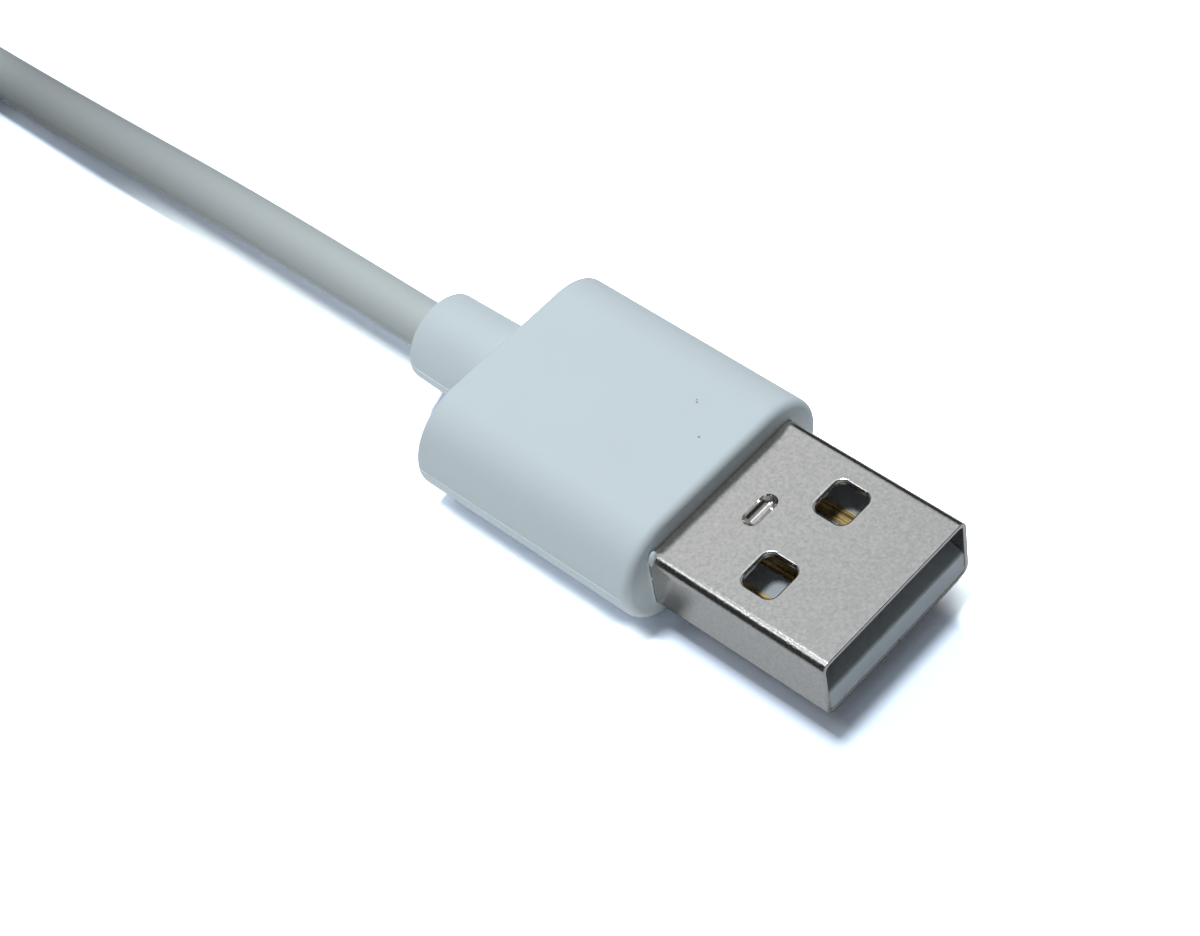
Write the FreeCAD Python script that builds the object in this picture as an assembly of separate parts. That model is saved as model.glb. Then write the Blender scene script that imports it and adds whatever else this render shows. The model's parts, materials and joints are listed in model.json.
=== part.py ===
"""Smartwatch charging cable: a type-A plug, a cord folded into a hank, and a round charging puck.

Millimetres. The plug lies on z = 0 and points along +X, and the origin is under its middle.
"""

import FreeCAD, Part
import math
import os

Vector = FreeCAD.Vector

# Fits between pieces
fit_clearance = 0.02
tongue_clearance = 0.03
cutter_run = 1.0

# Plug shell, folded from plated sheet
shell_width = 12.0
shell_height = 4.5
shell_sheet = 0.3
shell_bend = 0.64
shell_reach = 12.05
shell_tail = 6.7
mouth_round = 0.06

# Slit under the shell where the folded sheet's edges meet, locked by dovetails
seam_gap = 0.06
dovetail_root = 1.4
dovetail_head = 2.0
dovetail_depth = 1.0
dovetail_places = (2.6, 9.4)

# Windows of the shell, above and below
window_across = 2.5
window_along = 2.2
window_corner = 0.55
window_roll = 0.2
window_offset = 3.0
window_from_tip = 6.0

# Pressed dimple that locks the tongue in the shell
dimple_across = 2.45
dimple_along = 1.05
dimple_depth = 0.4
dimple_from_tip = 9.2

# Contact tongue and its rear block
tongue_setback = 0.05
tongue_lead_run = 1.1
tongue_lead_drop = 0.35
tongue_nose = 0.2
block_from_tip = 8.2
block_back_inset = 0.25

# Contacts
contact_width = 1.0
contact_sheet = 0.25
contact_proud = 0.05
contact_setback = 1.4
contact_lip = 0.9
contact_nose = 0.2
contact_inner_offset = 1.0
contact_outer_offset = 3.5
contact_crank_start = 0.4
contact_crank_run = 0.5
contact_crank_drop = 0.6
contact_tail = 2.6

# Grip and neck, one moulding
grip_width = 16.0
grip_height = 7.2
grip_length = 15.9
grip_front_round = 0.5
grip_back_round = 0.12
neck_root_diameter = 5.84
neck_end_diameter = 5.56
neck_length = 5.85
neck_end_round = 0.2
shell_lip_reach = 0.06
shell_lip_wall = 0.05
parting_rib_proud = 0.03
parting_rib_height = 0.1

# Stiff inner moulding
inner_side_wall = 1.0
inner_top_wall = 0.6
inner_corner = 2.0
inner_front_inset = 1.5
inner_back_inset = 2.4

# Cord and its two cores
cord_diameter = 3.0
cord_hold = 1.0
core_diameter = 1.1
core_offset = 0.7
core_lap = 1.9
core_straight = 1.2

# Hank of the put-away cord
hank_near = -71.1
hank_run = 48.0
hank_fold_radius = 9.0
hank_lanes = 3
hank_layers = 2
lane_gap = 0.05
hank_edge_round = 1.44
lead_room = 0.3
tail_start = 22.0

# Band round the hank
band_sheet = 0.4
band_width = 5.0
band_from_fold = 1.5
band_flap = 14.0
band_flap_middle = 15.0
band_flap_corner = 1.5

# Charging puck
puck_diameter = 28.0
puck_floor = 1.4
puck_foot_round = 1.8
puck_rim_round = 0.4
puck_rim_wall = 1.0
puck_wall = 2.0
puck_ledge = 1.1
part_space = 1.6
board_sheet = 0.8
ferrite_sheet = 0.6
coil_height = 1.0
face_height = 2.6
dish_diameter = 22.0
dish_depth = 1.0
magnet_diameter = 9.0
coil_outer_diameter = 20.8
coil_inner_diameter = 10.6
ferrite_diameter = 22.4
centre_hole_gap = 0.3

# Parts soldered under the board
chip_side = 4.0
chip_height = 0.9
chip_place = -2.5
capacitor_length = 2.0
capacitor_width = 1.2
capacitor_height = 1.1
capacitor_place = 5.0
capacitor_pitch = 3.5
capacitor_count = 3
puck_core_reach = 3.6

# Soft sleeve at the puck
sleeve_bore_diameter = 3.9
sleeve_root_diameter = 5.2
sleeve_end_diameter = 4.0
sleeve_length = 4.0
sleeve_root_overlap = 0.4

# Where the puck lies on the hank
puck_past_far_fold = 26.7
puck_side = -15.6
puck_turn = 10.0
puck_approach = 21.6

# Places worked out from the sizes above
plug_length = shell_reach + grip_length + neck_length
axis_z = grip_height / 2
tip_x = plug_length / 2
grip_front = tip_x - shell_reach
grip_back = grip_front - grip_length
neck_end = grip_back - neck_length
shell_back = grip_front - shell_tail
shell_top = axis_z + shell_height / 2
inner_front = grip_front - inner_front_inset
inner_back = grip_back + inner_back_inset
block_back = shell_back + block_back_inset
contact_top = axis_z + contact_proud
contact_front = tip_x - contact_setback
tail_top = contact_top - contact_crank_drop
contact_end = block_back - contact_crank_start - contact_crank_run - contact_tail
cord_start = inner_back + cord_hold
core_z = tail_top + core_diameter / 2 + fit_clearance

lane_pitch = cord_diameter + lane_gap
outer_lane_radius = hank_fold_radius + (hank_lanes - 1 + 0.25) * lane_pitch
hank_far = hank_near - hank_run
hank_half = outer_lane_radius - lane_pitch / 4 + cord_diameter / 2
hank_middle = cord_diameter / 2 - hank_half
hank_bundle = (hank_lanes - 1) * lane_pitch + cord_diameter
hank_height = (hank_layers - 1) * lane_pitch + cord_diameter
hank_bottom = band_sheet + fit_clearance
hank_top = hank_bottom + hank_height
first_lane_z = hank_bottom + cord_diameter / 2
last_lane_z = hank_top - cord_diameter / 2
over_lane_z = hank_top + cord_diameter / 2

puck_radius = puck_diameter / 2
ledge_z = puck_floor + part_space
board_top = ledge_z + board_sheet
ferrite_top = board_top + ferrite_sheet
seat_z = ferrite_top + coil_height
puck_height = seat_z + face_height
board_bore = puck_radius - puck_wall
part_bore = board_bore - puck_ledge
entry_z = (puck_floor + seat_z) / 2
entry_reach = board_bore + fit_clearance
puck_x = hank_far + puck_past_far_fold
puck_direction = Vector(math.cos(math.radians(puck_turn)), math.sin(math.radians(puck_turn)), 0)
puck_centre = Vector(puck_x, puck_side, hank_top)
entry_height = Vector(0, 0, entry_z)

# Route of the cord: out of the neck, down to the hank, and from the hank into the puck
lead_points = [
    Vector(cord_start, 0, axis_z),
    Vector(-21.5, 0, axis_z),
    Vector(-35.0, 0, 3.4),
    Vector(-47.5, 0, 2.5),
    Vector(-59.5, 0, first_lane_z),
    Vector(hank_near, 0, first_lane_z),
]
tail_points = [
    Vector(hank_far + tail_start, 0, last_lane_z),
    Vector(hank_far + 12.5, 0, last_lane_z),
    Vector(hank_far + 3.0, 0, last_lane_z + 1.9),
    Vector(hank_far - 6.0, 0, over_lane_z + 0.2),
    Vector(hank_far - 12.1, -6.6, over_lane_z + 0.3),
    Vector(hank_far - 11.3, -15.6, over_lane_z + 0.5),
    Vector(hank_far - 4.2, -21.1, over_lane_z + 0.9),
    puck_centre + entry_height - puck_direction * puck_approach,
    puck_centre + entry_height - puck_direction * entry_reach,
]


def edges_along(shape, axis):
    """Straight edges that run along X, Y or Z."""
    return [e for e in shape.Edges if abs(getattr(e.tangentAt(e.FirstParameter), axis)) > 0.9]


def slab(back, front, width, height, corner):
    """Block along X about the plug's axis, with its long edges rounded."""
    block = Part.makeBox(front - back, width, height, Vector(back, -width / 2, axis_z - height / 2))
    return block.makeFillet(corner, edges_along(block, "x"))


def box_between(low, high):
    return Part.makeBox(high[0] - low[0], high[1] - low[1], high[2] - low[2], Vector(*low))


def rod(start, stop, diameter):
    along = stop - start
    return Part.makeCylinder(diameter / 2, along.Length, start, along)


def lies_at(edge, axis, value):
    first, last = edge.FirstParameter, edge.LastParameter
    samples = [edge.valueAt(first + (last - first) * share) for share in (0.0, 0.3, 0.7, 1.0)]
    return all(math.isclose(getattr(point, axis), value, abs_tol=1e-5) for point in samples)


def rounded_path(points):
    """Straight runs joined by tangent arcs, each as large as its two runs allow."""
    edges = []
    radii = []
    here = points[0]
    for before, corner, after in zip(points, points[1:], points[2:]):
        back = before - corner
        on = after - corner
        reach = 0.45 * min(back.Length, on.Length)
        back.normalize()
        on.normalize()
        radius = reach / math.tan((math.pi - back.getAngle(on)) / 2)
        inwards = back + on
        inwards.normalize()
        middle = corner + inwards * (math.hypot(radius, reach) - radius)
        start = corner + back * reach
        stop = corner + on * reach
        edges.append(Part.LineSegment(here, start).toShape())
        edges.append(Part.Arc(start, middle, stop).toShape())
        radii.append(radius)
        here = stop
    edges.append(Part.LineSegment(here, points[-1]).toShape())
    return Part.Wire(edges), radii


def tube(points, diameter):
    path, radii = rounded_path(points)
    ring = Part.Wire(Part.Circle(points[0], points[1] - points[0], diameter / 2).toShape())
    return path.makePipeShell([ring], True, False), path.Length, radii


def cord_tube(name, points):
    solid, length, radii = tube(points, cord_diameter)
    share = solid.Volume / (math.pi * cord_diameter ** 2 / 4 * length)
    print(name, "length", round(length, 1), "volume share", round(share, 4))
    print(name, "radii", [round(radius, 1) for radius in radii])
    return solid


def stadium(back, length, width, height):
    """Bar along X with half-round sides."""
    flat = (width - height) / 2
    low = axis_z - height / 2
    high = axis_z + height / 2
    edges = [
        Part.LineSegment(Vector(back, -flat, low), Vector(back, flat, low)).toShape(),
        Part.Arc(
            Vector(back, flat, low),
            Vector(back, width / 2, axis_z),
            Vector(back, flat, high),
        ).toShape(),
        Part.LineSegment(Vector(back, flat, high), Vector(back, -flat, high)).toShape(),
        Part.Arc(
            Vector(back, -flat, high),
            Vector(back, -width / 2, axis_z),
            Vector(back, -flat, low),
        ).toShape(),
    ]
    return Part.Face(Part.Wire(edges)).extrude(Vector(length, 0, 0))


def dimple_tool(growth):
    """Round-ended trough that presses the dimple, grown outwards for the sheet round it."""
    half = dimple_along / 2
    radius = (half ** 2 + dimple_depth ** 2) / (2 * dimple_depth)
    place_z = shell_top - dimple_depth + radius
    place_x = tip_x - dimple_from_tip
    side = (dimple_across - dimple_along) / 2
    near = Vector(place_x, -side, place_z)
    far = Vector(place_x, side, place_z)
    size = radius + growth
    trough = rod(near, far, 2 * size)
    return trough.fuse([Part.makeSphere(size, near), Part.makeSphere(size, far)])


def shell_window(side):
    """Upright cutter for a window of the shell and the one below it."""
    middle_x = tip_x - window_from_tip
    middle_y = side * window_offset
    cutter = box_between(
        (middle_x - window_along / 2, middle_y - window_across / 2, -cutter_run),
        (middle_x + window_along / 2, middle_y + window_across / 2, grip_height + cutter_run),
    )
    return cutter.makeFillet(window_corner, edges_along(cutter, "z"))


def window_rims(shell):
    """Upper edges of the windows."""
    found = []
    for edge in shell.Edges:
        if not lies_at(edge, "z", shell_top):
            continue
        along = abs(edge.CenterOfMass.x - tip_x + window_from_tip)
        across = abs(abs(edge.CenterOfMass.y) - window_offset)
        if along < window_along and across < window_across:
            found.append(edge)
    return found


def shell_seam():
    """Dovetailed slit through the underside, where the folded sheet's two edges meet."""
    back = shell_back - cutter_run
    front = tip_x + cutter_run
    outline = [(back, -shell_width), (front, -shell_width), (front, 0)]
    for place in dovetail_places:
        middle = tip_x - place
        outline.append((middle + dovetail_root / 2, 0))
        outline.append((middle + dovetail_head / 2, dovetail_depth))
        outline.append((middle - dovetail_head / 2, dovetail_depth))
        outline.append((middle - dovetail_root / 2, 0))
    outline.append((back, 0))
    corners = [Vector(x, y, axis_z - shell_height) for x, y in outline]
    one_side = Part.Face(Part.makePolygon(corners + corners[:1]))
    slit = one_side.cut(one_side.makeOffset2D(-seam_gap))
    return slit.extrude(Vector(0, 0, shell_height / 2 + 2 * shell_sheet))


def plug_shell():
    outer = slab(shell_back, tip_x, shell_width, shell_height, shell_bend)
    inner = slab(
        shell_back - cutter_run,
        tip_x + cutter_run,
        shell_width - 2 * shell_sheet,
        shell_height - 2 * shell_sheet,
        shell_bend - shell_sheet,
    )
    shell = outer.cut(inner)
    shell = shell.makeFillet(mouth_round, [e for e in shell.Edges if lies_at(e, "x", tip_x)])
    for side in (-1, 1):
        shell = shell.cut(shell_window(side))
    shell = shell.makeFillet(window_roll, window_rims(shell))
    under_top = box_between(
        (shell_back, -shell_width / 2, axis_z),
        (tip_x, shell_width / 2, shell_top - shell_sheet / 2),
    )
    shell = shell.fuse(dimple_tool(shell_sheet).common(under_top)).cut(dimple_tool(0))
    return shell.cut(shell_seam()).removeSplitter()


def contact_tongue():
    width = shell_width - 2 * shell_sheet - 2 * tongue_clearance
    height = shell_height - 2 * shell_sheet - 2 * tongue_clearance
    front = tip_x - tongue_setback
    tongue = slab(block_back, front, width, height, shell_bend - shell_sheet)
    open_space = box_between(
        (tip_x - block_from_tip, -shell_width, axis_z),
        (tip_x + cutter_run, shell_width, grip_height),
    )
    lead_start = front - tongue_lead_run
    lead_end = axis_z - tongue_lead_drop
    lead_in = Part.Face(Part.makePolygon([
        Vector(lead_start, -shell_width, axis_z),
        Vector(front, -shell_width, lead_end),
        Vector(front, -shell_width, axis_z),
        Vector(lead_start, -shell_width, axis_z),
    ])).extrude(Vector(0, 2 * shell_width, 0))
    tongue = tongue.cut(open_space).cut(lead_in)
    nose = [e for e in tongue.Edges if lies_at(e, "x", front) and lies_at(e, "z", lead_end)]
    tongue = tongue.makeFillet(tongue_nose, nose)
    gap = fit_clearance
    for offset in contact_offsets():
        low_y = offset - contact_width / 2 - gap
        high_y = offset + contact_width / 2 + gap
        groove = box_between(
            (block_back - cutter_run, low_y, contact_top - contact_sheet - gap),
            (contact_front + gap, high_y, contact_top + gap),
        )
        slot = box_between(
            (contact_front - contact_sheet - gap, low_y, contact_top - contact_lip - gap),
            (contact_front + gap, high_y, contact_top),
        )
        tongue = tongue.cut(groove).cut(slot)
    return tongue.cut(dimple_tool(shell_sheet + tongue_clearance))


def contact_offsets():
    return (-contact_outer_offset, -contact_inner_offset, contact_inner_offset, contact_outer_offset)


def contact(offset):
    """Strip with its front end turned down and its tail cranked down for the joint."""
    side = offset - contact_width / 2
    crank = block_back - contact_crank_start
    crank_end = crank - contact_crank_run
    upper = [
        (contact_front, contact_top),
        (crank, contact_top),
        (crank_end, tail_top),
        (contact_end, tail_top),
    ]
    lower = [
        (contact_end, tail_top - contact_sheet),
        (crank_end, tail_top - contact_sheet),
        (crank, contact_top - contact_sheet),
        (contact_front - contact_sheet, contact_top - contact_sheet),
        (contact_front - contact_sheet, contact_top - contact_lip),
        (contact_front, contact_top - contact_lip),
    ]
    corners = [Vector(x, side, z) for x, z in upper + lower]
    strip = Part.Face(Part.makePolygon(corners + corners[:1])).extrude(Vector(0, contact_width, 0))
    nose = [e for e in strip.Edges if lies_at(e, "x", contact_front) and lies_at(e, "z", contact_top)]
    return strip.makeFillet(contact_nose, nose)


def core_points(side):
    return [
        Vector(contact_end + core_lap, side * contact_outer_offset, core_z),
        Vector(contact_end - core_diameter / 4, side * contact_outer_offset, core_z),
        Vector(cord_start + core_straight, side * core_offset, core_z),
        Vector(cord_start, side * core_offset, core_z),
    ]


def plug_inner_mould():
    gap = 2 * fit_clearance
    mould = slab(
        inner_back,
        inner_front,
        shell_width + 2 * inner_side_wall,
        shell_height + 2 * inner_top_wall,
        inner_corner,
    )
    shell_seat = slab(
        shell_back - fit_clearance,
        tip_x,
        shell_width + gap,
        shell_height + gap,
        shell_bend,
    )
    mould = mould.cut(shell_seat)
    for offset in contact_offsets():
        channel = box_between(
            (
                contact_end - fit_clearance,
                offset - contact_width / 2 - fit_clearance,
                tail_top - contact_sheet - fit_clearance,
            ),
            (shell_back, offset + contact_width / 2 + fit_clearance, contact_top + fit_clearance),
        )
        mould = mould.cut(channel)
    for side in (-1, 1):
        mould = mould.cut(tube(core_points(side), core_diameter + gap)[0])
    cord_seat = rod(
        Vector(inner_back - cutter_run, 0, axis_z),
        Vector(cord_start, 0, axis_z),
        cord_diameter + gap,
    )
    return mould.cut(cord_seat)


def parting_rib():
    """Fine line that the mould's halves leave along both sides of the grip and the neck."""
    root = neck_root_diameter / 2 + parting_rib_proud
    end = neck_end_diameter / 2 + parting_rib_proud
    side = grip_width / 2 + parting_rib_proud
    outline = [
        (neck_end + neck_end_round, end),
        (grip_back, root),
        (grip_back + grip_back_round, root),
        (grip_back + grip_back_round, side),
        (grip_front - grip_front_round, side),
    ]
    corners = [Vector(x, y, axis_z - parting_rib_height / 2) for x, y in outline]
    corners += [Vector(point.x, -point.y, point.z) for point in reversed(corners)]
    return Part.Face(Part.makePolygon(corners + corners[:1])).extrude(Vector(0, 0, parting_rib_height))


def plug_overmould():
    gap = 2 * fit_clearance
    body = stadium(grip_back, grip_length, grip_width, grip_height)
    body = body.makeFillet(grip_front_round, [e for e in body.Edges if lies_at(e, "x", grip_front)])
    body = body.makeFillet(grip_back_round, [e for e in body.Edges if lies_at(e, "x", grip_back)])
    neck = Part.makeCone(
        neck_end_diameter / 2,
        neck_root_diameter / 2,
        neck_length,
        Vector(neck_end, 0, axis_z),
        Vector(1, 0, 0),
    )
    neck = neck.makeFillet(neck_end_round, [e for e in neck.Edges if lies_at(e, "x", neck_end)])
    lip = slab(
        grip_front - cutter_run,
        grip_front + shell_lip_reach,
        shell_width + 2 * shell_lip_wall,
        shell_height + 2 * shell_lip_wall,
        shell_bend + shell_lip_wall,
    )
    mould = body.fuse([neck, lip, parting_rib()])
    shell_hole = slab(
        inner_front - cutter_run,
        tip_x,
        shell_width + gap,
        shell_height + gap,
        shell_bend,
    )
    inner_hole = slab(
        inner_back - fit_clearance,
        inner_front + fit_clearance,
        shell_width + 2 * inner_side_wall + gap,
        shell_height + 2 * inner_top_wall + gap,
        inner_corner,
    )
    bore = rod(
        Vector(neck_end - cutter_run, 0, axis_z),
        Vector(cord_start, 0, axis_z),
        cord_diameter + gap,
    )
    return mould.cut([shell_hole, inner_hole, bore])


def racetrack(half_width, bottom, height):
    """Flat bar with round ends, as long as the hank's runs and folds."""
    low = hank_middle - half_width
    high = hank_middle + half_width
    edges = [
        Part.LineSegment(Vector(hank_far, low, bottom), Vector(hank_near, low, bottom)).toShape(),
        Part.Arc(
            Vector(hank_near, low, bottom),
            Vector(hank_near + half_width, hank_middle, bottom),
            Vector(hank_near, high, bottom),
        ).toShape(),
        Part.LineSegment(Vector(hank_near, high, bottom), Vector(hank_far, high, bottom)).toShape(),
        Part.Arc(
            Vector(hank_far, high, bottom),
            Vector(hank_far - half_width, hank_middle, bottom),
            Vector(hank_far, low, bottom),
        ).toShape(),
    ]
    return Part.Face(Part.Wire(edges)).extrude(Vector(0, 0, height))


def cord_hank():
    """Outer shape of the folded turns, stepped where the cord comes in and where it leaves."""
    ring = racetrack(hank_half, hank_bottom, hank_height)
    ring = ring.cut(
        racetrack(hank_half - hank_bundle, hank_bottom - cutter_run, hank_height + 2 * cutter_run)
    )
    rims = [e for e in ring.Edges if lies_at(e, "z", hank_bottom) or lies_at(e, "z", hank_top)]
    ring = ring.makeFillet(hank_edge_round, rims)
    lane_side = -cord_diameter / 2 - lead_room
    lead_step = box_between(
        (hank_near, lane_side, -cutter_run),
        (hank_near + 2 * hank_half, cord_diameter, hank_bottom + cord_diameter + lead_room),
    )
    tail_step = box_between(
        (hank_far - 2 * hank_half, lane_side, last_lane_z - cord_diameter / 2 - fit_clearance),
        (hank_far + tail_start, cord_diameter, hank_top + cutter_run),
    )
    return ring.cut(lead_step).cut(tail_step)


def cord_band():
    """Strap round the hank, with its end laid over on top."""
    front = hank_near - band_from_fold
    back = front - band_width
    gap = fit_clearance

    def loop(growth):
        block = box_between(
            (back, hank_middle - hank_half - growth, hank_bottom - growth),
            (front, hank_middle + hank_half + growth, hank_top + growth),
        )
        return block.makeFillet(hank_edge_round + growth, edges_along(block, "x"))

    band = loop(band_sheet + gap).cut(loop(gap))
    flap_y = hank_middle + hank_half - band_flap_middle
    flap = box_between(
        (back, flap_y - band_flap / 2, hank_top + gap + band_sheet),
        (front, flap_y + band_flap / 2, hank_top + gap + 2 * band_sheet),
    )
    corners = [e for e in edges_along(flap, "z") if e.CenterOfMass.y < flap_y]
    return band.fuse(flap.makeFillet(band_flap_corner, corners)).removeSplitter()


def disc(diameter, bottom, top):
    return Part.makeCylinder(diameter / 2, top - bottom, Vector(0, 0, bottom))


def placed(shape):
    """From the puck's own frame, with its cord towards -X, to where it lies on the hank."""
    shape.rotate(Vector(0, 0, 0), Vector(0, 0, 1), puck_turn)
    shape.translate(puck_centre)
    return shape


def puck_base():
    cup = disc(puck_diameter, 0, puck_height)
    cup = cup.makeFillet(puck_foot_round, [e for e in cup.Edges if lies_at(e, "z", 0)])
    cup = cup.makeFillet(puck_rim_round, [e for e in cup.Edges if lies_at(e, "z", puck_height)])
    open_top = puck_height + cutter_run
    cup = cup.cut(disc(2 * part_bore, puck_floor, open_top))
    cup = cup.cut(disc(2 * board_bore, ledge_z, open_top))
    cup = cup.cut(disc(puck_diameter - 2 * puck_rim_wall, seat_z, open_top))
    hole = rod(
        Vector(-puck_radius - cutter_run, 0, entry_z),
        Vector(-part_bore + cutter_run, 0, entry_z),
        sleeve_bore_diameter + 2 * fit_clearance,
    )
    return cup.cut(hole)


def puck_face():
    face = disc(puck_diameter - 2 * puck_rim_wall - 2 * fit_clearance, seat_z, puck_height)
    face = face.makeFillet(puck_rim_round, [e for e in face.Edges if lies_at(e, "z", puck_height)])
    half = dish_diameter / 2
    radius = (half ** 2 + dish_depth ** 2) / (2 * dish_depth)
    return face.cut(Part.makeSphere(radius, Vector(0, 0, puck_height - dish_depth + radius)))


def puck_sleeve():
    collar = Part.makeCone(
        sleeve_end_diameter / 2,
        sleeve_root_diameter / 2,
        sleeve_length + sleeve_root_overlap,
        Vector(-puck_radius - sleeve_length, 0, entry_z),
        Vector(1, 0, 0),
    )
    collar = collar.cut(disc(puck_diameter + 2 * fit_clearance, 0, puck_height))
    core = rod(
        Vector(-puck_radius - sleeve_length / 2, 0, entry_z),
        Vector(-entry_reach, 0, entry_z),
        sleeve_bore_diameter,
    )
    bore = rod(
        Vector(-puck_radius - 2 * sleeve_length, 0, entry_z),
        Vector(0, 0, entry_z),
        cord_diameter + 2 * fit_clearance,
    )
    return collar.fuse(core).cut(bore).removeSplitter()


def puck_board():
    return disc(2 * (board_bore - fit_clearance), ledge_z, board_top)


def puck_chip():
    return box_between(
        (chip_place - chip_side / 2, -chip_side / 2, ledge_z - chip_height),
        (chip_place + chip_side / 2, chip_side / 2, ledge_z),
    )


def puck_capacitors():
    near = capacitor_place - capacitor_width / 2
    bottom = ledge_z - capacitor_height
    blocks = []
    for number in range(capacitor_count):
        side = (number - (capacitor_count - 1) / 2) * capacitor_pitch - capacitor_length / 2
        block = Part.makeBox(capacitor_width, capacitor_length, capacitor_height, Vector(near, side, bottom))
        blocks.append(block)
    return Part.makeCompound(blocks)


def ferrite_shield():
    plate = disc(ferrite_diameter, board_top, ferrite_top)
    hole = disc(magnet_diameter + 2 * centre_hole_gap, board_top - cutter_run, ferrite_top + cutter_run)
    return plate.cut(hole)


def charging_coil():
    winding = disc(coil_outer_diameter, ferrite_top, seat_z - fit_clearance)
    return winding.cut(disc(coil_inner_diameter, ferrite_top - cutter_run, seat_z + cutter_run))


def puck_magnet():
    return disc(magnet_diameter, board_top, seat_z - fit_clearance)


def puck_core(side):
    core_height = ledge_z - core_diameter / 2 - fit_clearance
    start = Vector(-entry_reach, side * core_offset, core_height)
    return rod(start, start + Vector(puck_core_reach, 0, 0), core_diameter)


def write(name, shape):
    shape.exportStep("parts/" + name + ".step")
    print(name, "solids", len(shape.Solids), "valid", shape.isValid(), "volume", round(shape.Volume, 2))


os.makedirs("parts", exist_ok=True)

write("plug_shell", plug_shell())
write("contact_tongue", contact_tongue())
contact_names = ("power_contact", "data_contact_minus", "data_contact_plus", "ground_contact")
for contact_name, contact_offset in zip(contact_names, contact_offsets()):
    write(contact_name, contact(contact_offset))
write("plug_inner_mould", plug_inner_mould())
write("plug_overmould", plug_overmould())
write("plug_power_wire", tube(core_points(-1), core_diameter)[0])
write("plug_ground_wire", tube(core_points(1), core_diameter)[0])

write("cord_run", cord_tube("cord_run", lead_points))
write("cord_hank", cord_hank())
write("cord_tail", cord_tube("cord_tail", tail_points))
write("cord_band", cord_band())

write("puck_base", placed(puck_base()))
write("puck_face", placed(puck_face()))
write("puck_sleeve", placed(puck_sleeve()))
write("puck_board", placed(puck_board()))
write("puck_chip", placed(puck_chip()))
write("puck_capacitors", placed(puck_capacitors()))
write("ferrite_shield", placed(ferrite_shield()))
write("charging_coil", placed(charging_coil()))
write("puck_magnet", placed(puck_magnet()))
write("puck_power_wire", placed(puck_core(-1)))
write("puck_ground_wire", placed(puck_core(1)))
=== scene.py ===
import json
import math

import bpy
from mathutils import Matrix, Vector


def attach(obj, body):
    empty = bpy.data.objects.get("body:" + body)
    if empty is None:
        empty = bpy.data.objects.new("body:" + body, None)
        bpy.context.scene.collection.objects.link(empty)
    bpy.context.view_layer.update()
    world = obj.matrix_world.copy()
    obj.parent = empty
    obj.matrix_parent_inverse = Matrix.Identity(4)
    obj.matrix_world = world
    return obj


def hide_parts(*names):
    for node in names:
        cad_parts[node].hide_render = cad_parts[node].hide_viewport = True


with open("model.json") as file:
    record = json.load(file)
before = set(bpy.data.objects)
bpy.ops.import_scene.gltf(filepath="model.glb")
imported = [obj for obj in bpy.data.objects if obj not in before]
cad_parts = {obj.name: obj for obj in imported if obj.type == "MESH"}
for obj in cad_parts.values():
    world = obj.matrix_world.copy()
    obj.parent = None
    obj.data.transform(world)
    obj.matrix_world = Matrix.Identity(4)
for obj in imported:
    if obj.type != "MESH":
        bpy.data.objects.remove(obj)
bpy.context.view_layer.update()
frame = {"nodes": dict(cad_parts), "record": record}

mm = 0.001
nodes = frame["nodes"]


# a socket that takes part in sums, so that shader maths reads as plain expressions
class Wire:
    def __init__(self, board, socket):
        self.board = board
        self.socket = socket

    def sum(self, operation, first, second):
        return self.board.node("ShaderNodeMath", {"operation": operation}, {0: first, 1: second})

    def __add__(self, other):
        return self.sum("ADD", self, other)

    def __radd__(self, other):
        return self.sum("ADD", other, self)

    def __sub__(self, other):
        return self.sum("SUBTRACT", self, other)

    def __rsub__(self, other):
        return self.sum("SUBTRACT", other, self)

    def __mul__(self, other):
        return self.sum("MULTIPLY", self, other)

    def __rmul__(self, other):
        return self.sum("MULTIPLY", other, self)


# one node tree, of a material or of the world, and the only place that adds nodes to it
class Board:
    def __init__(self, tree):
        self.tree = tree
        tree.nodes.clear()

    def node(self, kind, settings=None, sockets=None, output=0):
        made = self.tree.nodes.new(kind)
        for name, value in (settings or {}).items():
            setattr(made, name, value)
        for key, value in (sockets or {}).items():
            if isinstance(value, Wire):
                self.tree.links.new(value.socket, made.inputs[key])
            else:
                made.inputs[key].default_value = value
        return Wire(self, made.outputs[output]) if len(made.outputs) else made

    def coordinates(self):
        return self.node("ShaderNodeTexCoord", output="Object")

    def noise(self, scale, detail=3.0, roughness=0.6, vector=None):
        sockets = {"Scale": scale, "Detail": detail, "Roughness": roughness}
        sockets["Vector"] = vector or self.coordinates()
        return self.node("ShaderNodeTexNoise", {}, sockets)

    def mixColour(self, factor, first, second):
        settings = {"data_type": "RGBA"}
        return self.node("ShaderNodeMix", settings, {0: factor, 6: first, 7: second}, output=2)

    def fade(self, value, low, high, atLow=0.0, atHigh=1.0):
        settings = {"interpolation_type": "SMOOTHSTEP"}
        sockets = {"Value": value, "From Min": low, "From Max": high, "To Min": atLow, "To Max": atHigh}
        return self.node("ShaderNodeMapRange", settings, sockets)

    def vector(self, operation, first, second, output=0):
        return self.node("ShaderNodeVectorMath", {"operation": operation}, {0: first, 1: second}, output)

    def part(self, vector, axis):
        return self.node("ShaderNodeSeparateXYZ", {}, {0: vector}, axis)

    def maths(self, operation, *values):
        return self.node("ShaderNodeMath", {"operation": operation}, dict(enumerate(values)))

    def bump(self, height, distance):
        return self.node("ShaderNodeBump", {}, {"Height": height, "Distance": distance})


def newMaterial(name):
    material = bpy.data.materials.new(name)
    material.use_nodes = True
    return material, Board(material.node_tree)


def finishMaterial(board, sockets):
    surface = board.node("ShaderNodeBsdfPrincipled", {}, sockets)
    board.node("ShaderNodeOutputMaterial", {}, {"Surface": surface})


def opaque(colour):
    return (colour[0], colour[1], colour[2], 1.0)


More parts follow.
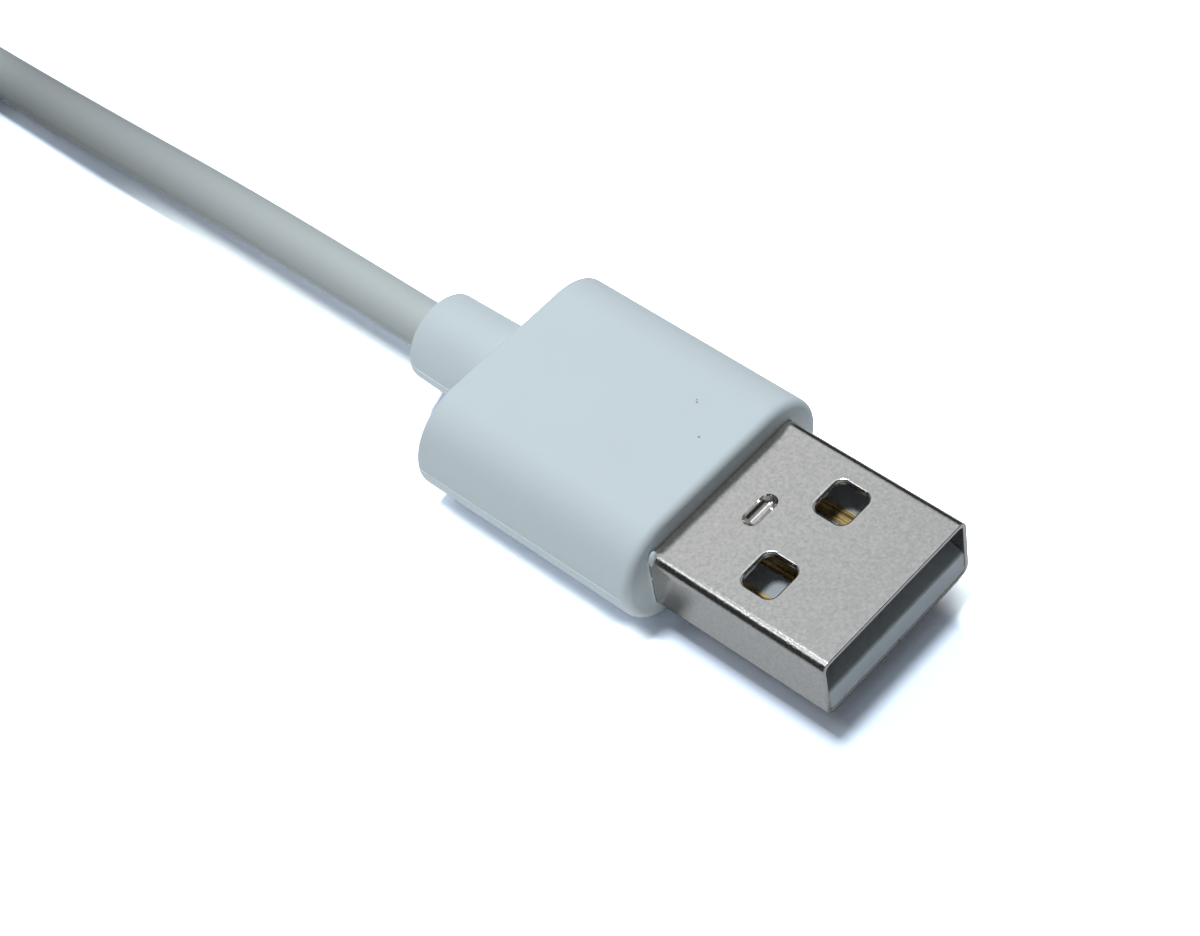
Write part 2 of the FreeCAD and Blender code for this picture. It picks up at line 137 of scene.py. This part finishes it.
# the place and the aim of the photograph's camera
cameraSettings = {
    "stand": (75.52 * mm, -63.70 * mm, 125.38 * mm),
    "azimuth": -38.33,
    "elevation": 50.69,
    "roll": -12.14,
    "lens": 84.80,
    "sensor": 36.0,
    "nearest": 0.001,
    "farthest": 100.0,
}


def addCamera(s):
    data = bpy.data.cameras.new("photoCamera")
    data.sensor_fit = "HORIZONTAL"
    data.sensor_width = s["sensor"]
    data.lens = s["lens"]
    data.clip_start = s["nearest"]
    data.clip_end = s["farthest"]
    camera = bpy.data.objects.new("photoCamera", data)
    bpy.context.scene.collection.objects.link(camera)
    turn = Matrix.Rotation(math.radians(s["azimuth"] + 90.0), 4, "Z")
    tilt = Matrix.Rotation(math.radians(90.0 - s["elevation"]), 4, "X")
    roll = Matrix.Rotation(math.radians(s["roll"]), 4, "Z")
    camera.matrix_world = Matrix.Translation(s["stand"]) @ turn @ tilt @ roll
    bpy.context.scene.camera = camera


addCamera(cameraSettings)
print("camera placed")


# a white sheet under the object, with painted light next to the grip and the cord and at the far side of
# the plug's front that whitens the outer part of their shadows, and white far away
floorSettings = {
    "size": 40.0,
    "seen": (1.29, 1.35, 1.53),
    # painted light: the white the sheet is raised to next to the grip and the cord, also used to keep the
    # sheet white far away
    "paintedLightAndFarWhite": (4.5, 4.5, 4.5),
    "paintedLightWidth": 1.0,
    "paintedLightReach": (36.0, 48.0),
    "gripSide": -7.1,
    "cordSide": -0.35,
    "gripBack": (-17.0, -14.5),
    "gripFront": (2.6, 4.4),
    "frontStep": 0.35,
    "farSide": (3.3, 4.8),
    "outerWhite": (95.0, 150.0),
    # painted shade in reflections: metal mirrors the sheet darker than the light it throws back, and nearly
    # black far away
    "mirrored": (0.625, 0.63, 0.645),
    "mirroredFar": (0.10, 0.10, 0.10),
    "near": 24.0,
    "far": 50.0,
    "thrownBack": (0.95, 0.95, 0.95),
}

def addFloor(s):
    bpy.ops.object.select_all(action="DESELECT")
    bpy.ops.mesh.primitive_plane_add(size=s["size"])
    floor = bpy.context.object
    floor.name = "paperFloor"
    material, board = newMaterial("whitePaper")
    ray = "ShaderNodeLightPath"
    mirrored = board.node(ray, output="Is Glossy Ray") + board.node(ray, output="Is Transmission Ray")
    away = board.vector("LENGTH", board.coordinates(), (0.0, 0.0, 0.0), "Value")
    outer = board.fade(away, s["near"] * mm, s["far"] * mm)
    # painted shade in reflections: what mirror rays see of the sheet, darker than the sheet is and nearly
    # black far off
    reflection = board.mixColour(outer, opaque(s["mirrored"]), opaque(s["mirroredFar"]))
    colour = board.mixColour(mirrored, opaque(s["thrownBack"]), reflection)
    along = board.part(board.coordinates(), "X")
    across = board.part(board.coordinates(), "Y")
    back, front = s["gripBack"], s["gripFront"]
    side = board.fade(along, back[0] * mm, back[1] * mm, s["cordSide"] * mm, s["gripSide"] * mm)
    side = side + board.fade(along, front[0] * mm, front[1] * mm, 0.0, s["frontStep"] * mm)
    # painted light: next to the grip and the cord and at the far side, the colour the camera sees is raised
    # towards white, cutting their shadows short
    paintedLightBeside = board.fade(side - across, 0.0, s["paintedLightWidth"] * mm)
    paintedLightBeyond = board.fade(across, s["farSide"][0] * mm, s["farSide"][1] * mm)
    close = board.fade(away, s["paintedLightReach"][0] * mm, s["paintedLightReach"][1] * mm, 1.0, 0.0)
    outside = board.fade(away, s["outerWhite"][0] * mm, s["outerWhite"][1] * mm)
    seen = board.mixColour((paintedLightBeside + paintedLightBeyond) * close + outside, opaque(s["seen"]), opaque(s["paintedLightAndFarWhite"]))
    colour = board.mixColour(board.node(ray, output="Is Camera Ray"), colour, seen)
    paper = board.node("ShaderNodeBsdfDiffuse", {}, {"Color": colour})
    board.node("ShaderNodeOutputMaterial", {}, {"Surface": paper})
    floor.data.materials.append(material)


# a dark room with a broad pale panel overhead and a brighter one in it that the shell's top mirrors,
# two for the dimple's flank and streak, a dim one at the near side, and low glows that only metal mirrors
roomSettings = {
    "dark": (0.018, 0.020, 0.021),
    "panels": [
        {"towards": (-0.40, 0.22, 0.89), "rim": 0.76, "middle": 0.92, "pale": (0.63, 0.71, 0.76)},
        {"towards": (-0.66, 0.40, 0.64), "rim": 0.93, "middle": 0.99, "pale": (0.98, 1.06, 1.08)},
        {"towards": (0.30, 0.41, 0.86), "rim": 0.955, "middle": 0.99, "pale": (0.40, 0.44, 0.46)},
        {"towards": (0.42, -0.80, 0.44), "rim": 0.58, "middle": 0.94, "pale": (0.18, 0.21, 0.23)},
        {"towards": (-0.12, 0.41, 0.90), "rim": 0.984, "middle": 0.994, "pale": (1.9, 2.1, 2.2)},
    ],
    "glows": [
        {"towards": (0.30, 0.90, 0.34), "rim": 0.80, "middle": 0.93, "pale": (0.44, 0.47, 0.48)},
        {"towards": (0.85, -0.45, 0.28), "rim": 0.66, "middle": 0.92, "pale": (0.44, 0.47, 0.48)},
        {"towards": (-0.94, -0.04, 0.33), "rim": 0.87, "middle": 0.96, "pale": (0.28, 0.30, 0.31)},
    ],
}


def addRoom(s):
    world = bpy.data.worlds.new("dimRoom")
    bpy.context.scene.world = world
    world.use_nodes = True
    board = Board(world.node_tree)
    direction = board.node("ShaderNodeTexCoord", output="Generated")
    colour = opaque(s["dark"])
    mirrored = board.node("ShaderNodeLightPath", output="Is Glossy Ray")
    for panel in s["panels"] + s["glows"]:
        facing = board.vector("DOT_PRODUCT", direction, Vector(panel["towards"]).normalized(), "Value")
        spread = board.fade(facing, panel["rim"], panel["middle"])
        if panel in s["glows"]:
            spread = spread * mirrored
        colour = board.mixColour(spread, colour, opaque(panel["pale"]))
    light = board.node("ShaderNodeBackground", {}, {"Color": colour, "Strength": 1.0})
    board.node("ShaderNodeOutputWorld", {}, {"Surface": light})


# a lamp overhead, and a small one behind the plug that draws the light line on the shell's near edge
lampSettings = [
    {"name": "overheadLamp", "place": (-0.04, 0.012, 0.32),
     "size": 0.06, "power": 0.68, "colour": (0.90, 1.0, 1.05)},
    {"name": "edgeLamp", "place": (-0.148, -0.142, 0.300),
     "size": 0.10, "power": 0.085, "colour": (0.95, 1.0, 1.02)},
]


def addLamp(s):
    lamp = bpy.data.lights.new(s["name"], "AREA")
    lamp.shape = "DISK"
    lamp.size = s["size"]
    lamp.energy = s["power"]
    lamp.color = s["colour"]
    stand = bpy.data.objects.new(s["name"], lamp)
    bpy.context.scene.collection.objects.link(stand)
    stand.location = s["place"]
    stand.rotation_euler = (-Vector(s["place"])).to_track_quat("-Z", "Y").to_euler()


addFloor(floorSettings)
addRoom(roomSettings)
for lampPlan in lampSettings:
    addLamp(lampPlan)
bpy.context.scene.view_settings.view_transform = "Standard"
print("studio lit")


# satin nickel plate with a fine pebbled grain, coarser where the sheet is folded down from the top
nickelSettings = {
    "bright": (0.715, 0.643, 0.595), "dull": (0.350, 0.344, 0.345), "cloudScale": 5200.0,
    "roughness": 0.16, "roughnessSpread": 0.10, "grainScale": 8200.0, "grainHeight": 0.005 * mm,
    "foldGrain": 2.6, "foldSide": (5.35, 5.75), "foldTop": (5.15, 5.5),
}


def platedMetal(name, s):
    material, board = newMaterial(name)
    grain = board.noise(s["grainScale"], detail=4.0)
    cloud = board.noise(s["cloudScale"], roughness=0.5)
    aside = board.maths("ABSOLUTE", board.part(board.coordinates(), "Y"))
    over = board.part(board.coordinates(), "Z")
    fold = board.fade(aside, s["foldSide"][0] * mm, s["foldSide"][1] * mm)
    fold = fold * board.fade(over, s["foldTop"][0] * mm, s["foldTop"][1] * mm)
    finishMaterial(board, {
        "Base Color": board.mixColour(cloud, opaque(s["dull"]), opaque(s["bright"])),
        "Metallic": 1.0,
        "Roughness": s["roughness"] + s["roughnessSpread"] * (grain - 0.5),
        "Normal": board.bump(grain * (1.0 + s["foldGrain"] * fold), s["grainHeight"]),
    })
    return material


# bright plate of the puck's magnet
magnetSettings = {
    "bright": (0.72, 0.71, 0.69), "dull": (0.62, 0.61, 0.59), "cloudScale": 400.0,
    "roughness": 0.18, "roughnessSpread": 0.10, "grainScale": 5200.0, "grainHeight": 0.001 * mm,
    "foldGrain": 0.0, "foldSide": (0.0, 1.0), "foldTop": (0.0, 1.0),
}

# gold plate, drawn along the contacts
goldSettings = {
    "bright": (0.95, 0.68, 0.30), "dull": (0.34, 0.22, 0.08), "streaks": (0.36, 0.66),
    "roughness": 0.34, "roughnessSpread": 0.25, "drawn": (0.06, 1.0, 1.0),
    "lineScale": 6400.0, "lineHeight": 0.005 * mm,
}


def goldPlate(s):
    material, board = newMaterial("goldPlate")
    stretched = board.vector("MULTIPLY", board.coordinates(), s["drawn"])
    lines = board.noise(s["lineScale"], vector=stretched)
    streak = board.fade(lines, s["streaks"][0], s["streaks"][1])
    finishMaterial(board, {
        "Base Color": board.mixColour(streak, opaque(s["dull"]), opaque(s["bright"])),
        "Metallic": 1.0,
        "Roughness": s["roughness"] + s["roughnessSpread"] * (lines - 0.5),
        "Normal": board.bump(lines, s["lineHeight"]),
    })
    return material


# mouldings: a cloudy tint, a fine matt skin and, where named, a waxy depth
def mouldedPlastic(name, s):
    material, board = newMaterial(name)
    skin = board.noise(s["skinScale"])
    cloud = board.noise(s["cloudScale"], roughness=0.5)
    finishMaterial(board, {
        "Base Color": board.mixColour(cloud, opaque(s["shade"]), opaque(s["tint"])),
        "Roughness": s["roughness"] + s["roughnessSpread"] * (skin - 0.5),
        "Specular IOR Level": s["specular"],
        "Subsurface Weight": 1.0 if "waxDepth" in s else 0.0,
        "Subsurface Radius": (1.0, 1.0, 1.0),
        "Subsurface Scale": s.get("waxDepth", 0.0),
        "Normal": board.bump(skin, s["skinHeight"]),
    })
    return material


tongueSettings = {
    "tint": (0.50, 0.525, 0.55), "shade": (0.47, 0.495, 0.52), "cloudScale": 300.0, "waxDepth": 0.4 * mm,
    "roughness": 0.42, "roughnessSpread": 0.12, "specular": 0.4,
    "skinScale": 6000.0, "skinHeight": 0.001 * mm,
}
innerSettings = {
    "tint": (0.70, 0.70, 0.66), "shade": (0.62, 0.62, 0.58), "cloudScale": 220.0,
    "roughness": 0.38, "roughnessSpread": 0.14, "specular": 0.45,
    "skinScale": 4200.0, "skinHeight": 0.002 * mm,
}
puckSettings = {
    "tint": (0.71, 0.72, 0.72), "shade": (0.68, 0.69, 0.69), "cloudScale": 120.0,
    "roughness": 0.24, "roughnessSpread": 0.08, "specular": 0.5,
    "skinScale": 5200.0, "skinHeight": 0.0006 * mm,
}
chipSettings = {
    "tint": (0.028, 0.028, 0.030), "shade": (0.016, 0.016, 0.018), "cloudScale": 900.0,
    "roughness": 0.55, "roughnessSpread": 0.20, "specular": 0.4,
    "skinScale": 9000.0, "skinHeight": 0.003 * mm,
}
ferriteSettings = {
    "tint": (0.085, 0.085, 0.092), "shade": (0.050, 0.050, 0.056), "cloudScale": 1400.0,
    "roughness": 0.60, "roughnessSpread": 0.24, "specular": 0.5,
    "skinScale": 8000.0, "skinHeight": 0.004 * mm,
}
redWireSettings = {
    "tint": (0.56, 0.035, 0.030), "shade": (0.42, 0.022, 0.020), "cloudScale": 420.0,
    "roughness": 0.36, "roughnessSpread": 0.12, "specular": 0.5,
    "skinScale": 6000.0, "skinHeight": 0.001 * mm,
}
blackWireSettings = {
    "tint": (0.030, 0.030, 0.032), "shade": (0.016, 0.016, 0.017), "cloudScale": 420.0,
    "roughness": 0.36, "roughnessSpread": 0.12, "specular": 0.5,
    "skinScale": 6000.0, "skinHeight": 0.001 * mm,
}

# satin white of the grip and the neck, with painted light making it paler towards the bottom as if lit from
# the floor, and two specks of dirt on top
gripSettings = {
    "tint": (0.61, 0.64, 0.655), "shade": (0.59, 0.618, 0.632), "cloudScale": 180.0,
    "roughness": 0.58, "roughnessSpread": 0.14, "specular": 0.3,
    "skinScale": 7000.0, "skinHeight": 0.0012 * mm,
    "paintedFloorLight": (0.81, 0.85, 0.87), "paintedFloorLightFrom": 3.4, "paintedFloorLightTo": 6.4,
    "specks": [((0.74, 3.03, 7.2), 0.075), ((0.86, 2.91, 7.2), 0.085), ((2.56, 1.12, 7.2), 0.10)],
    "dirt": (0.16, 0.16, 0.16), "dirtCover": 0.8, "speckCore": 0.4, "speckRag": 0.06 * mm,
}


def gripPlastic(s):
    material, board = newMaterial("gripPlastic")
    skin = board.noise(s["skinScale"])
    cloud = board.noise(s["cloudScale"], roughness=0.5)
    colour = board.mixColour(cloud, opaque(s["shade"]), opaque(s["tint"]))
    # painted light: the colour turns paler below the top, standing in for light thrown up from the floor
    height = board.part(board.coordinates(), "Z")
    low = board.fade(height, s["paintedFloorLightFrom"] * mm, s["paintedFloorLightTo"] * mm, 1.0, 0.0)
    colour = board.mixColour(low, colour, opaque(s["paintedFloorLight"]))
    for place, radius in s["specks"]:
        middle = tuple(x * mm for x in place)
        away = board.vector("DISTANCE", board.coordinates(), middle, "Value")
        ragged = away + s["speckRag"] * (skin - 0.5)
        dirt = board.fade(ragged, s["speckCore"] * radius * mm, radius * mm, s["dirtCover"], 0.0)
        colour = board.mixColour(dirt, colour, opaque(s["dirt"]))
    finishMaterial(board, {
        "Base Color": colour,
        "Roughness": s["roughness"] + s["roughnessSpread"] * (skin - 0.5),
        "Specular IOR Level": s["specular"],
        "Normal": board.bump(skin, s["skinHeight"]),
    })
    return material


# soft jacket, with painted shade greying it between the plug and the hank, standing in for light falling
# off along the cord
jacketSettings = {
    "unshaded": (0.52, 0.53, 0.522), "grey": (0.272, 0.274, 0.270), "unshadedFrom": -17.0, "greyFrom": -64.0,
    "greyTo": -54.0, "unshadedTo": -68.0,
    "cloud": 0.05, "cloudScale": 140.0, "roughness": 0.58, "roughnessSpread": 0.14, "specular": 0.3,
    "skinScale": 6000.0, "skinHeight": 0.0015 * mm,
}


def jacketRubber(s):
    material, board = newMaterial("jacketRubber")
    skin = board.noise(s["skinScale"])
    cloud = board.noise(s["cloudScale"], roughness=0.5)
    along = board.part(board.coordinates(), "X")
    # painted shade: greyer along the cord away from the plug, clearing again at the hank, with a little
    # random mottle added on top
    paintedShadeAndMottle = board.fade(along, s["greyFrom"] * mm, s["unshadedFrom"] * mm, 1.0, 0.0)
    paintedShadeAndMottle = paintedShadeAndMottle * board.fade(along, s["unshadedTo"] * mm, s["greyTo"] * mm)
    paintedShadeAndMottle = paintedShadeAndMottle + s["cloud"] * (cloud - 0.5)
    finishMaterial(board, {
        "Base Color": board.mixColour(paintedShadeAndMottle, opaque(s["unshaded"]), opaque(s["grey"])),
        "Roughness": s["roughness"] + s["roughnessSpread"] * (skin - 0.5),
        "Specular IOR Level": s["specular"],
        "Normal": board.bump(skin, s["skinHeight"]),
    })
    return material


# strap of the hank: soft white with fine ribs along it, and painted shade darkening the gaps between the
# ribs
strapSettings = {
    "tint": (0.66, 0.66, 0.65), "groove": (0.47, 0.47, 0.46), "ribPitch": 0.5, "ribHeight": 0.04 * mm,
    "roughness": 0.62, "fuzz": 0.16, "fuzzScale": 3600.0,
}


def strapRubber(s):
    material, board = newMaterial("strapRubber")
    along = board.part(board.coordinates(), "X")
    rib = 0.5 + 0.5 * board.maths("SINE", along * (2 * math.pi / (s["ribPitch"] * mm)))
    fuzz = board.noise(s["fuzzScale"])
    finishMaterial(board, {
        # painted shade: darker colour between the ribs
        "Base Color": board.mixColour(rib, opaque(s["groove"]), opaque(s["tint"])),
        "Roughness": s["roughness"] + s["fuzz"] * (fuzz - 0.5),
        "Normal": board.bump(rib + s["fuzz"] * fuzz, s["ribHeight"]),
    })
    return material


# the puck's own place, for finishes that follow its parts
puckSpot = {"middle": (-92.4, -15.6, 0.0), "turn": 10.0}


def puckCoordinates(board, s):
    middle = tuple(x * mm for x in s["middle"])
    moved = board.vector("SUBTRACT", board.coordinates(), middle)
    turn = -math.radians(s["turn"])
    settings = {"rotation_type": "Z_AXIS"}
    return board.node("ShaderNodeVectorRotate", settings, {"Vector": moved, "Angle": turn})


# green laminate with the glass weave faint under its mask
laminateSettings = {
    "mask": (0.030, 0.190, 0.085), "weave": (0.042, 0.235, 0.105), "threadPitch": 0.45,
    "roughness": 0.30, "roughnessSpread": 0.12, "weaveHeight": 0.004 * mm, "grainScale": 5000.0,
}


def boardLaminate(s):
    material, board = newMaterial("boardLaminate")
    spot = puckCoordinates(board, puckSpot)
    turns = 2 * math.pi / (s["threadPitch"] * mm)
    over = board.maths("SINE", board.part(spot, "X") * turns)
    under = board.maths("SINE", board.part(spot, "Y") * turns)
    weave = 0.5 + 0.5 * (over * under)
    grain = board.noise(s["grainScale"], detail=2.0, roughness=0.5)
    finishMaterial(board, {
        "Base Color": board.mixColour(weave, opaque(s["mask"]), opaque(s["weave"])),
        "Roughness": s["roughness"] + s["roughnessSpread"] * (grain - 0.5),
        "Normal": board.bump(weave, s["weaveHeight"]),
    })
    return material


# tan ceramic blocks with tinned ends
ceramicSettings = {
    "body": (0.36, 0.235, 0.13), "tin": (0.60, 0.60, 0.58), "pitch": 3.5, "bodyHalf": 0.62, "edge": 0.05,
    "roughness": 0.40, "roughnessSpread": 0.20, "grainScale": 5200.0, "grainHeight": 0.003 * mm,
}


def capacitorCeramic(s):
    material, board = newMaterial("capacitorCeramic")
    across = board.part(puckCoordinates(board, puckSpot), "Y")
    half = s["pitch"] / 2 * mm
    along = board.maths("ABSOLUTE", board.maths("WRAP", across, half, -half))
    tin = board.fade(along, s["bodyHalf"] * mm, (s["bodyHalf"] + s["edge"]) * mm)
    grain = board.noise(s["grainScale"])
    finishMaterial(board, {
        "Base Color": board.mixColour(tin, opaque(s["body"]), opaque(s["tin"])),
        "Metallic": tin,
        "Roughness": s["roughness"] + s["roughnessSpread"] * (grain - 0.5),
        "Normal": board.bump(grain, s["grainHeight"]),
    })
    return material


# enamelled copper, wound in flat turns, with painted shade darkening the hollows between the turns
copperSettings = {
    "crown": (0.78, 0.37, 0.19), "paintedValleyShade": (0.26, 0.10, 0.045), "turnPitch": 0.42, "turnHeight": 0.12 * mm,
    "roughness": 0.28, "roughnessSpread": 0.14, "grainScale": 4800.0,
}


def coilCopper(s):
    material, board = newMaterial("coilCopper")
    flat = board.vector("MULTIPLY", puckCoordinates(board, puckSpot), (1.0, 1.0, 0.0))
    out = board.vector("DISTANCE", flat, (0.0, 0.0, 0.0), "Value")
    turns = 0.5 + 0.5 * board.maths("SINE", out * (2 * math.pi / (s["turnPitch"] * mm)))
    grain = board.noise(s["grainScale"], detail=2.0, roughness=0.5)
    finishMaterial(board, {
        # painted shade: darker colour in the hollows between the turns
        "Base Color": board.mixColour(turns, opaque(s["paintedValleyShade"]), opaque(s["crown"])),
        "Metallic": 1.0,
        "Roughness": s["roughness"] + s["roughnessSpread"] * (grain - 0.5),
        "Normal": board.bump(turns, s["turnHeight"]),
    })
    return material


# which finish each record slot gets
finishes = {
    "shell_nickel": platedMetal("nickelPlate", nickelSettings),
    "tongue_plastic": mouldedPlastic("tonguePlastic", tongueSettings),
    "contact_gold": goldPlate(goldSettings),
    "inner_plastic": mouldedPlastic("innerPlastic", innerSettings),
    "grip_plastic": gripPlastic(gripSettings),
    "cord_jacket": jacketRubber(jacketSettings),
    "band_strap": strapRubber(strapSettings),
    "puck_plastic": mouldedPlastic("puckPlastic", puckSettings),
    "board_laminate": boardLaminate(laminateSettings),
    "chip_resin": mouldedPlastic("chipResin", chipSettings),
    "capacitor_ceramic": capacitorCeramic(ceramicSettings),
    "ferrite": mouldedPlastic("ferriteGrey", ferriteSettings),
    "coil_copper": coilCopper(copperSettings),
    "magnet_plating": platedMetal("magnetPlate", magnetSettings),
    "power_wire": mouldedPlastic("redInsulation", redWireSettings),
    "ground_wire": mouldedPlastic("blackInsulation", blackWireSettings),
}
for subpart in frame["record"]["subparts"]:
    node = nodes[subpart["node"]]
    node.data.materials.clear()
    node.data.materials.append(finishes[subpart["material_slot"]])
print("finishes made")


# beads of white plastic squeezed out where the shell enters the grip
beadSettings = [
    {"name": "flashBead", "place": (5.03, -5.74, 5.66), "size": (0.25, 0.52, 0.27),
     "lean": 72.0, "tip": 0.10, "tipFrom": 0.6, "segments": 16, "rings": 10},
    {"name": "flashDrop", "place": (4.93, -6.01, 4.02), "size": (0.07, 0.12, 0.08),
     "lean": 90.0, "tip": 0.03, "tipFrom": 0.6, "segments": 16, "rings": 10},
]


def addBead(s, material):
    bpy.ops.object.select_all(action="DESELECT")
    bpy.ops.mesh.primitive_uv_sphere_add(segments=s["segments"], ring_count=s["rings"], radius=mm)
    bead = bpy.context.object
    bead.name = s["name"]
    bpy.ops.object.mode_set(mode="EDIT")
    bpy.ops.transform.resize(value=s["size"])
    bpy.ops.object.mode_set(mode="OBJECT")
    for vertex in bead.data.vertices:
        vertex.select = vertex.co.y < -s["tipFrom"] * s["size"][1] * mm
    bpy.ops.object.mode_set(mode="EDIT")
    bpy.ops.transform.translate(value=(0.0, -s["tip"] * mm, 0.0))    # drawn out down the side
    bpy.ops.mesh.select_all(action="SELECT")
    lean = -math.radians(s["lean"])
    bpy.ops.transform.rotate(value=lean, orient_axis="X", center_override=(0.0, 0.0, 0.0))
    bpy.ops.transform.translate(value=tuple(x * mm for x in s["place"]))
    bpy.ops.mesh.normals_make_consistent(inside=False)
    bpy.ops.object.mode_set(mode="OBJECT")
    smooth = bead.modifiers.new("rounds", "SUBSURF")
    smooth.levels = 1
    smooth.render_levels = 1
    bpy.ops.object.modifier_apply(modifier="rounds")
    bpy.ops.object.shade_smooth()
    bead.data.materials.append(material)
    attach(bead, "root")


for beadPlan in beadSettings:
    addBead(beadPlan, finishes["grip_plastic"])
print("beads set")


# the cord's route: out of the neck, along the table, round the hank's turns, and back over them to the puck
cordSettings = {
    "diameter": 3.0 * mm,
    "length": 1.02,
    "exit": (-16.9, 0.0, 3.6),
    "lead": [(-7.65, 0, 3.6), (-21.5, 0, 3.6), (-35.0, 0, 3.4), (-47.5, 0, 2.5), (-59.5, 0, 1.92)],
    "hankNear": -71.1,
    "hankRun": 48.0,
    "foldRadius": 9.0,
    "lanes": 3,
    "pitch": 3.05,
    "bottom": 1.92,
    "foldPoints": 5,
    "stepsAlong": 10,
    "stepsRound": 6,
    "tail": [
        (-97.1, 0, 4.97), (-106.6, 0, 4.97), (-116.1, 0, 6.87), (-125.1, 0, 8.17), (-131.2, -6.6, 8.27),
        (-130.4, -15.6, 8.47), (-123.3, -21.1, 8.87), (-113.672, -19.351, 9.87), (-104.237, -17.687, 9.87),
    ],
}


# the points of half a turn, just outside its circle so that the smooth line runs on the circle
def foldPoints(fromY, toY, x, side, z, count):
    middle = (fromY + toY) / 2
    radius = (fromY - toY) / 2
    step = math.pi / count
    reach = radius / math.cos(step / 2)
    points = []
    for k in range(count):
        angle = (k + 0.5) * step
        points.append((x + side * abs(reach) * math.sin(angle), middle + reach * math.cos(angle), z))
    return points


def hankPoints(s):
    near, far = s["hankNear"], s["hankNear"] - s["hankRun"]
    pitch, lanes, low = s["pitch"], s["lanes"], s["bottom"]
    high = low + pitch
    width = 2 * s["foldRadius"] + (2 * lanes - 2) * pitch
    plus = [-k * pitch for k in range(lanes)]
    minus = [-width + k * pitch for k in range(lanes)]
    down = [(plus[k], minus[k], low) for k in range(lanes)]
    up = [(plus[k], minus[k - 1] if k else None, high) for k in reversed(range(lanes))]
    legs = down + up
    points = []
    for k, (out, back, z) in enumerate(legs):
        points.append((near, out, z))
        if back is None:
            break
        points.append((far, out, z))
        points += foldPoints(out, back, far, -1, z, s["foldPoints"])
        following, level = legs[k + 1][0], legs[k + 1][2]
        points.append((far, back, z))
        points.append((near, back, level))
        points += foldPoints(back, following, near, 1, level, s["foldPoints"])
    return points


def addCord(s, material):
    route = s["lead"] + hankPoints(s) + s["tail"]
    data = bpy.data.curves.new("cordLine", "CURVE")
    data.dimensions = "3D"
    spline = data.splines.new("NURBS")
    spline.points.add(len(route) - 1)
    for point, place in zip(spline.points, route):
        point.co = (place[0] * mm, place[1] * mm, place[2] * mm, 1.0)
    spline.order_u = 3
    spline.use_endpoint_u = True
    spline.resolution_u = s["stepsAlong"]
    data.bevel_depth = s["diameter"] / 2
    data.bevel_resolution = s["stepsRound"]
    data.use_fill_caps = True
    cord = bpy.data.objects.new("cordLine", data)
    bpy.context.scene.collection.objects.link(cord)
    data.materials.append(material)
    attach(cord, "root")
    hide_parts("cord_run", "cord_hank", "cord_tail")
    carried = [name for name in nodes if name.startswith("puck")]
    carried += ["cord_band", "ferrite_shield", "charging_coil"]


addCord(cordSettings, finishes["cord_jacket"])
print("cord laid")
